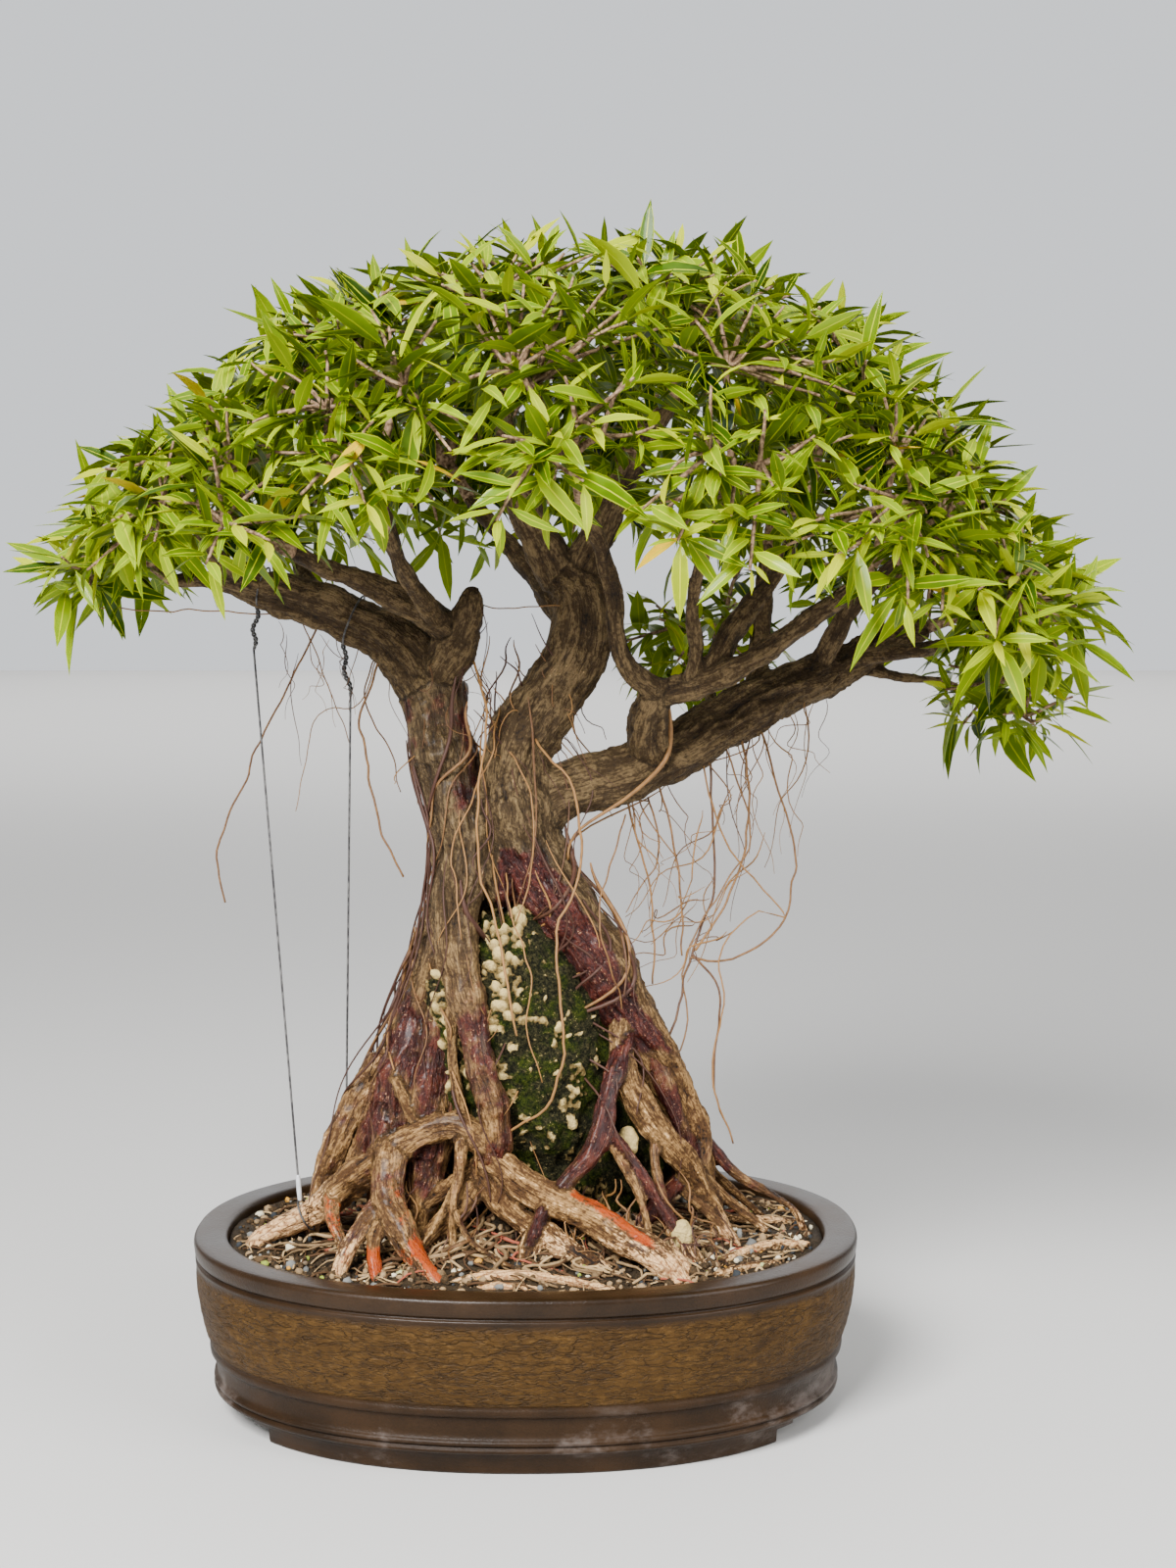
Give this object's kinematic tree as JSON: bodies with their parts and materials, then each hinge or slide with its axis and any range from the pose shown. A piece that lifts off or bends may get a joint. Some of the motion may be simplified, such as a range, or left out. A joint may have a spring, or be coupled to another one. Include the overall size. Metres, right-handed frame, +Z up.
{
  "type": "willow leaf ficus bonsai",
  "caption": "Root-over-rock ficus bonsai with a spreading crown of narrow leaves, hanging aerial roots and two guy wires, growing in an oval unglazed clay pot on foot brackets.",
  "frame": {"origin": "bottom centre of the overall box of the tree and pot, on the plane the pot stands on", "axes": "+Z up, +X to the right along the pot's long side, -Y towards the viewer"},
  "size_m": [0.6748, 0.4366, 0.7116],
  "materials": {
    "clay": "unglazed, dark brown",
    "screen_plastic": "matt",
    "soil": "loose gritty soil",
    "rock": "rough, mossy",
    "bark": "bark, brown to red on the roots",
    "wire": "dull",
    "leaf": "glossy green leaf"
  },
  "bodies": {
    "root": {"pot": "clay", "drain_screen_left": "screen_plastic", "drain_screen_right": "screen_plastic", "soil": "soil", "rock": "rock", "tree": "bark", "guy_wire_outer": "wire", "guy_wire_inner": "wire", "leaves_left_tip": "leaf", "leaves_left_upper": "leaf", "leaves_left_crown": "leaf", "leaves_top_left": "leaf", "leaves_top_right": "leaf", "leaves_right_crown": "leaf", "leaves_right_upper": "leaf", "leaves_right_tip": "leaf", "leaves_front_far_left": "leaf", "leaves_front_left": "leaf", "leaves_front_middle": "leaf", "leaves_front_right": "leaf", "leaves_front_far_right": "leaf", "leaves_right_front": "leaf", "leaves_back_left": "leaf", "leaves_back_middle_left": "leaf", "leaves_back_middle": "leaf", "leaves_back_right": "leaf", "leaves_back_far_right": "leaf", "leaves_back_low": "leaf", "leaves_right_low": "leaf"}
  },
  "joints": []
}
